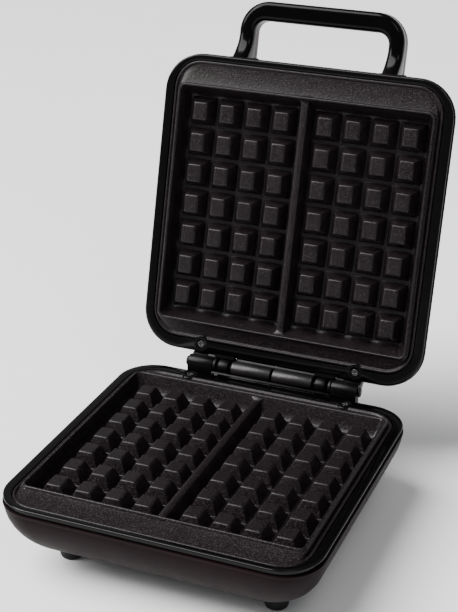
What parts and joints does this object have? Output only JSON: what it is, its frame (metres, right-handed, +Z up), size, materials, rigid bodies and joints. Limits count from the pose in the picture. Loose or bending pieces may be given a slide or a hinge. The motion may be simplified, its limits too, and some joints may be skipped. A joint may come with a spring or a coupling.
{
  "type": "waffle maker",
  "caption": "Open two-slice deep waffle maker with studded non-stick plates, a looped handle on the lid and a rear pin hinge.",
  "frame": {"origin": "on the table under the middle of the open waffle maker's footprint, feet on z = 0", "axes": "+Z up, +Y from the front edge towards the hinge, +X to the right seen from the front"},
  "size_m": [0.238, 0.3608, 0.3452],
  "materials": {
    "housing": "satin, fine grain",
    "gloss_black": "glossy",
    "coated_plate": "dark non-stick coating, satin",
    "element_steel": "heat-dulled tube",
    "sheet_steel": "plain sheet",
    "screw_steel": "blackened, worn bright at the slots",
    "rubber": "matte",
    "ceramic": "ceramic",
    "white_plastic": "plain",
    "lead": "sleeved",
    "hinge_black": "satin black",
    "hinge_textured": "spark-eroded texture",
    "handle_taupe": "matte grey-brown",
    "red_lens": "clear red",
    "green_lens": "clear green"
  },
  "bodies": {
    "base": {"base_shell": "housing", "base_bezel": "gloss_black", "lower_plate": "coated_plate", "lower_element": "element_steel", "lower_reflector": "sheet_steel", "lower_plate_screws": "screw_steel", "base_screws": "screw_steel", "rubber_feet": "rubber", "foot_screws": "screw_steel", "thermostat": "ceramic", "thermal_fuse": "ceramic", "terminal_block": "white_plastic", "cord_gland": "rubber", "base_leads": "lead", "base_hinge_bracket": "hinge_black", "base_hinge_screws": "screw_steel", "hinge_pin": "screw_steel", "hinge_washers": "screw_steel"},
    "lid": {"lid_shell": "housing", "lid_bezel": "gloss_black", "upper_plate": "coated_plate", "upper_element": "element_steel", "upper_reflector": "sheet_steel", "upper_plate_screws": "screw_steel", "lid_screws": "screw_steel", "hinge_barrels": "hinge_textured", "lid_hinge_bracket": "hinge_black", "lid_hinge_screws": "screw_steel", "handle_grip": "gloss_black", "handle_cover": "handle_taupe", "handle_screws": "screw_steel", "power_lens": "red_lens", "ready_lens": "green_lens", "lamp_carrier": "white_plastic"}
  },
  "joints": [
    {"name": "lid_hinge", "type": "hinge", "parent": "base", "child": "lid", "pos_m": [0, 0.0675, 0.0665], "axis": [1, 0, 0], "range_deg": [0, 104.4]}
  ]
}
